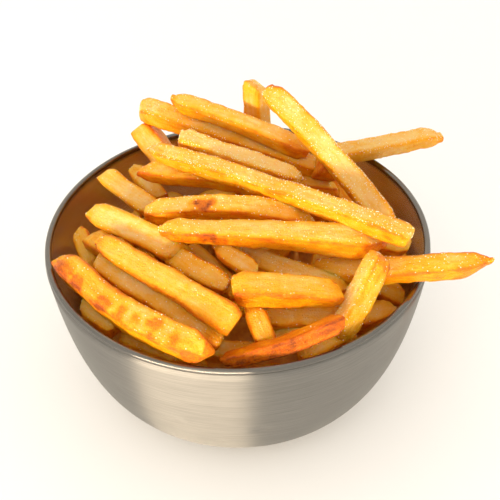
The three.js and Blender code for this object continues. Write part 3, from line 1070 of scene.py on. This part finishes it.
def deeper_fries(shown):
    """Fries laid one by one under the ones that show, the upper layers first."""
    pile = Pile(shown)
    tree = shown_tree(shown)
    chance = random.Random(PILE_SEED)
    deeper = [*LAID]
    for fry in LAID:
        pile.add(fry)
    for number in range(PILE_TRIES):
        radius = PILE_RADIUS * math.sqrt(chance.random())
        turn = chance.uniform(0, 2 * math.pi)
        angle = math.radians(chance.gauss(*DEEP_HEADING))
        length, thick = chance.uniform(*DEEP_LENGTH), chance.uniform(*DEEP_THICK)
        middle = (radius * math.cos(turn), radius * math.sin(turn))
        heading = (math.cos(angle), math.sin(angle))
        line = pile.highest_line(middle, heading, length, thick)
        if line is None or abs(line[1]) > STEEPEST:
            continue
        slope = line[1]
        height = line[0] - chance.uniform(0, LAYERS * number / PILE_TRIES)
        half = length / 2 / math.hypot(1, slope)
        ends = [
            (middle[0] + heading[0] * side, middle[1] + heading[1] * side, height + slope * side)
            for side in (-half, half)
        ]
        fry = Fry(
            name=f"deep_{len(deeper)}",
            start=ends[0],
            end=ends[1],
            thick=(thick, thick * chance.uniform(*DEEP_NARROWING)),
            turn=chance.uniform(*DEEP_TURN),
            bow=(chance.uniform(*DEEP_RISE), chance.uniform(*DEEP_BEND)),
            blunt=(chance.uniform(*DEEP_BLUNT), chance.uniform(*DEEP_BLUNT)),
            tone=chance.uniform(*DEEP_TONE),
            tips=(chance.uniform(*DEEP_TIPS), chance.uniform(*DEEP_TIPS)),
            gloss=DEEP_GLOSS,
        )
        if pile.fits(fry) and not stands_out(fry, pile, tree):
            pile.add(fry)
            deeper.append(fry)
    return deeper, pile


def core_piece(pile):
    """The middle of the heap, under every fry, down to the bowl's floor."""
    edge_height = CORE_FLOOR - CORE_EDGE
    edge_radius = np.interp(edge_height, pile.wall_height, pile.wall_radius) - CORE_WALL_GAP[0]
    bottom = SHEET + CORE_UNDER
    points = []

    def add_ring(radius, height_at):
        for j in range(CORE_TURNS):
            angle = 2 * math.pi * j / CORE_TURNS
            x, y = radius * math.cos(angle), radius * math.sin(angle)
            points.append((x, y, height_at(x, y)))

    for i in range(1, CORE_RINGS):
        radius = edge_radius * i / CORE_RINGS
        highest = edge_height + CORE_RISE * (edge_radius - radius) + CORE_STEP
        add_ring(radius, lambda x, y: max(min(pile.core[cell_of(x, y)], highest), edge_height))
    add_ring(edge_radius, lambda x, y: edge_height)
    for i in range(1, CORE_LOWER_RINGS + 1):
        share = i / CORE_LOWER_RINGS
        height = edge_height * (1 - share) + bottom * share
        radius = np.interp(height, pile.wall_height, pile.wall_radius) - CORE_WALL_GAP[1]
        add_ring(radius, lambda x, y: height)
    rows = CORE_RINGS + CORE_LOWER_RINGS
    points.append((0, 0, float(pile.core[cell_of(0, 0)])))
    points.append((0, 0, bottom))

    points = np.array(points)
    above = np.arange(len(points)) < (CORE_RINGS - 1) * CORE_TURNS
    points[:, 2] += sum(height * relief(points, size, seed) for height, size, seed in CORE_RELIEF) * above
    # The rings run outwards over the top, so their faces are turned over to point out.
    quads = ring_quads(rows, CORE_TURNS)[:, [0, 3, 2, 1]]
    lids = end_triangles(rows, CORE_TURNS)[:, ::-1]
    return add_mesh("heap_core", points * MM, quads.tolist() + lids.tolist(), [core_material()])


# ------------ stage, light and camera

# The camera's place, heading and roll, worked out from the bowl's rim in the photo.
EYE = Vector((0, -0.2707, 0.2959))
LOOK = Vector((0, 0.7734, -0.6339))
ROLL = math.radians(-1.715)
# The focal length and the optical axis in pixels of an image IMAGE wide, and the sensor's width.
FOCAL = 849.1
OPTIC_AXIS = (237.03, 229.03)
IMAGE = 500
SENSOR = 36
LIGHT_AIM = Vector((0, 0, 0.05))


def add_camera():
    data = bpy.data.cameras.new("camera")
    camera = bpy.data.objects.new("camera", data)
    bpy.context.scene.collection.objects.link(camera)
    look = LOOK.normalized()
    right = Vector((1, 0, 0))
    above = right.cross(look)
    right_rolled = math.cos(ROLL) * right + math.sin(ROLL) * above
    above_rolled = right_rolled.cross(look)
    turn = Matrix((right_rolled, above_rolled, -look)).transposed()
    camera.matrix_world = Matrix.Translation(EYE) @ turn.to_4x4()
    data.sensor_width = SENSOR
    data.lens = SENSOR * FOCAL / IMAGE
    data.shift_x = (IMAGE / 2 - OPTIC_AXIS[0]) / IMAGE
    data.shift_y = (OPTIC_AXIS[1] - IMAGE / 2) / IMAGE
    data.clip_start = 0.01
    bpy.context.scene.camera = camera


def add_area_light(name, place, size, power, colour):
    data = bpy.data.lights.new(name, "AREA")
    data.shape = "RECTANGLE"
    data.size, data.size_y = size
    data.energy = power
    data.color = colour
    light = bpy.data.objects.new(name, data)
    light.location = place
    light.rotation_euler = (LIGHT_AIM - Vector(place)).to_track_quat("-Z", "Y").to_euler()
    bpy.context.scene.collection.objects.link(light)


def add_stage():
    """A pale floor that bends up into a backdrop, in metres."""
    width, front, back, bend, top, bend_steps = 3.0, -2.0, 1.4, 0.5, 2.0, 12
    path = [(front, 0.0), (back - bend, 0.0)]
    for i in range(1, bend_steps + 1):
        angle = math.pi / 2 * i / bend_steps
        path.append((back - bend + bend * math.sin(angle), bend - bend * math.cos(angle)))
    path.append((back, top))
    points = [(side * width, y, z) for y, z in path for side in (-1, 1)]
    faces = [(2 * i, 2 * i + 1, 2 * i + 3, 2 * i + 2) for i in range(len(path) - 1)]
    paper = Graph("pale_paper")
    paper.set({"Base Color": (0.93, 0.93, 0.93, 1), "Roughness": 0.8})
    sweep = add_mesh("backdrop", points, faces, [paper.material])
    sweep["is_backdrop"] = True


def add_world():
    world = bpy.data.worlds.new("studio")
    bpy.context.scene.world = world
    world.use_nodes = True
    back = world.node_tree.nodes["Background"]
    back.inputs["Color"].default_value = (1.0, 0.96, 0.89, 1)
    back.inputs["Strength"].default_value = 1.1


# ------------ put together

# How far apart a fry's rings lie in millimetres and how many vertices a ring has, and first seeds.
FINE, MEDIUM, COARSE = (0.7, 44), (1.5, 24), (5, 8)
UPPER_SEED, LOWER_SEED, DEEP_SEED = 100, 300, 700

potato = potato_material()
upper = joined_fries("fries_upper", FRIES[:UPPER_FRIES], *FINE, UPPER_SEED, potato)
lower = joined_fries("fries_lower", FRIES[UPPER_FRIES:], *FINE, LOWER_SEED, potato)
bowl = bowl_piece()
deeper, pile = deeper_fries(FRIES)
deep = joined_fries("fries_deep", deeper, *MEDIUM, DEEP_SEED, potato)
core = core_piece(pile)
salt = salt_piece((upper, lower), salt_material())

for piece, slot in (
    (upper, "fried_potato"),
    (lower, "fried_potato"),
    (deep, "fried_potato"),
    (core, "fried_potato"),
    (salt, "fried_potato"),
    (bowl, "steel"),
):
    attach(piece, "root")
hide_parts("fries")
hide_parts("bowl")

add_camera()
add_stage()
add_world()
add_area_light("key", (-0.45, -0.6, 0.85), (0.35, 0.35), power=0.5, colour=(1.0, 0.96, 0.9))
# Low and wide, so that it makes the bright band on the bowl's front.
add_area_light("front", (-0.48, -1.07, 0.13), (1.25, 0.22), power=22, colour=(1.0, 0.84, 0.64))
bpy.context.scene.view_settings.view_transform = "Standard"

boxes = {"cad": cad_box, "visual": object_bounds()}
{key: [[float(v) for v in corner] for corner in box] for key, box in boxes.items()}
